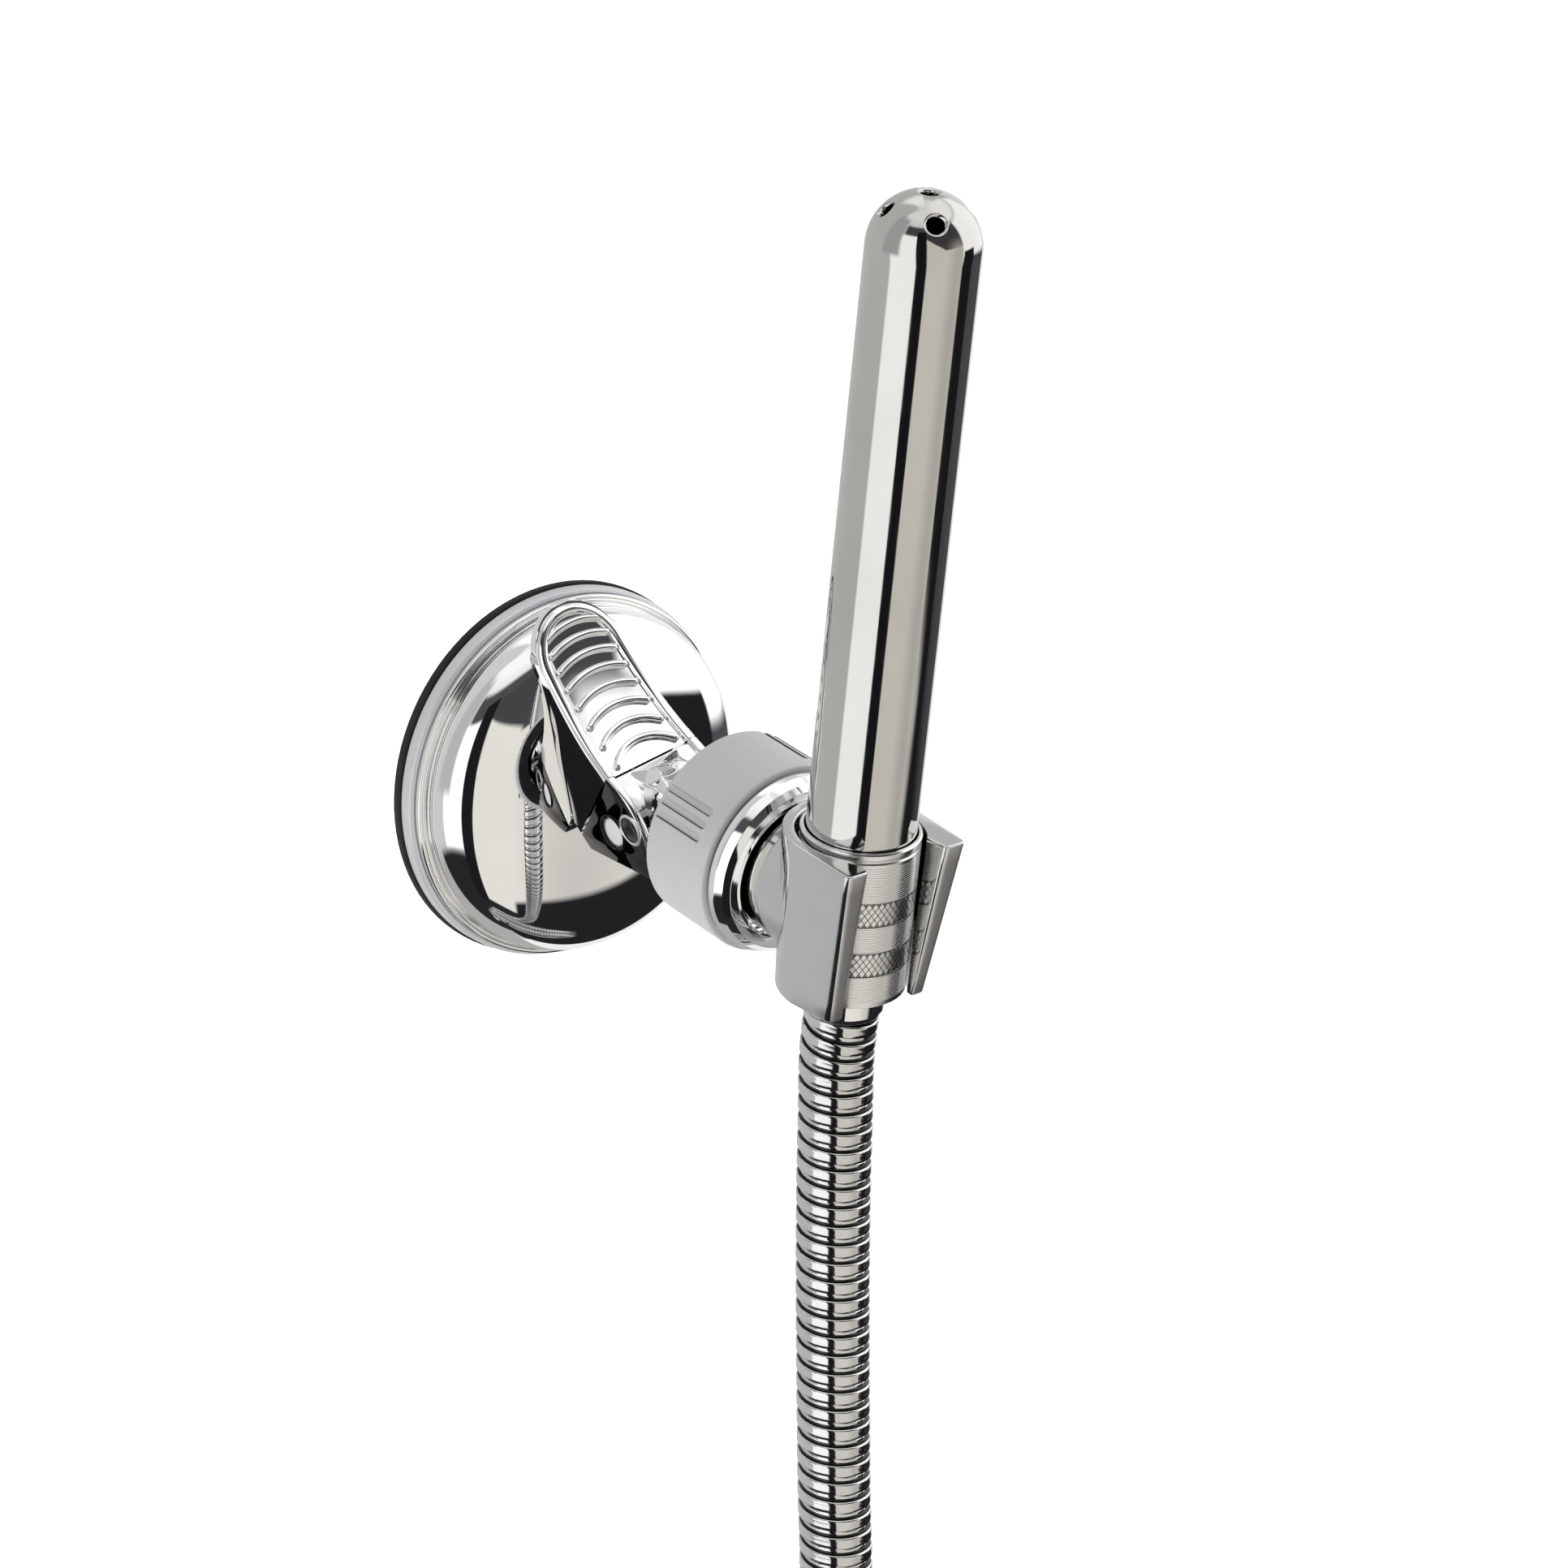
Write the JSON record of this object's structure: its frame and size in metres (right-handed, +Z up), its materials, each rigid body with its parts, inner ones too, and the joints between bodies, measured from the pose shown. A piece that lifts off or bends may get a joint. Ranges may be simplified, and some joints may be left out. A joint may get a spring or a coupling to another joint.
{
  "type": "handheld shower head",
  "caption": "Slim domed spray wand held upright in an open clip on a levered suction-cup wall bracket, with its ribbed metal hose.",
  "frame": {"origin": "middle of the suction cup's face, in the plane of the wall", "axes": "+Y into the wall along the suction base's axis, +Z up along the wall, +X to the right as seen facing the wall"},
  "size_m": [0.1866, 0.1196, 0.5283],
  "materials": {
    "chrome": "bright chrome plate",
    "satin": "satin plated, machined",
    "tube_steel": "polished stainless steel",
    "hose_metal": "bright spiral-wound steel strip",
    "hose_winding": "wound hose, bright metal outside over a rubber tube",
    "steel": "plain machined",
    "rubber": "matt black",
    "plastic": "moulded, unpainted",
    "nylon": "moulded black nylon"
  },
  "bodies": {
    "base": {"suction_cup": "rubber", "clamp_ring": "satin", "base_shell": "chrome", "pressure_plate": "plastic", "return_spring": "steel"},
    "stem": {"draw_stem": "steel"},
    "lever": {"lever_tongue": "chrome", "arm_yoke": "chrome", "pivot_pin": "chrome", "spacer_left": "plastic", "spacer_right": "plastic"},
    "collar": {"clamp_collar": "satin"},
    "swivel": {"swivel_flange": "chrome", "flange_screw": "steel", "friction_washer": "rubber", "holder_clip": "chrome"},
    "wand": {"wand_tube": "tube_steel", "wand_base": "satin", "tube_seal": "rubber", "flow_disc": "plastic", "ferrule_retainer": "satin"},
    "hose": {"hose_ferrule_top": "chrome", "hose_washer_top": "rubber", "hose_tube": "hose_metal", "hose_coil": "hose_winding", "hose_tail": "hose_metal", "hose_tie": "nylon", "hose_ferrule_end": "chrome", "hose_washer_end": "rubber"},
    "nut": {"hose_nut_end": "chrome"}
  },
  "joints": [
    {"name": "stem_slide", "type": "slide", "parent": "base", "child": "stem", "axis": [0, 1, 0], "range_m": [0, 0.0025]},
    {"name": "lever_hinge", "type": "hinge", "parent": "stem", "child": "lever", "pos_m": [-0.00025, -0.0342, 0.00128], "axis": [0.9816, 0, 0.1908], "range_deg": [0, 75]},
    {"name": "collar_turn", "type": "hinge", "parent": "lever", "child": "collar", "pos_m": [-0.0001, -0.0922, 0.00049], "axis": [-0.0271, 0.9899, 0.1392], "range_deg": [-180, 180]},
    {"name": "swivel_turn", "type": "hinge", "parent": "lever", "child": "swivel", "pos_m": [-0.0001, -0.0922, 0.00049], "axis": [-0.0271, 0.9899, 0.1392], "range_deg": [-180, 180]},
    {"name": "wand_lift", "type": "slide", "parent": "swivel", "child": "wand", "axis": [0.0019, -0.1392, 0.9903], "range_m": [0, 0.034]},
    {"name": "hose_swivel", "type": "hinge", "parent": "wand", "child": "hose", "pos_m": [-0.0001, -0.0922, 0.00049], "axis": [0.0019, -0.1392, 0.9903], "continuous": true},
    {"name": "nut_turn", "type": "hinge", "parent": "hose", "child": "nut", "pos_m": [-0.084, -0.05334, -0.36], "axis": [0, 0, 1], "continuous": true}
  ],
  "couplings": [
    {"joint": "stem_slide", "follows": "lever_hinge", "m_per_rad": 0.0019}
  ]
}
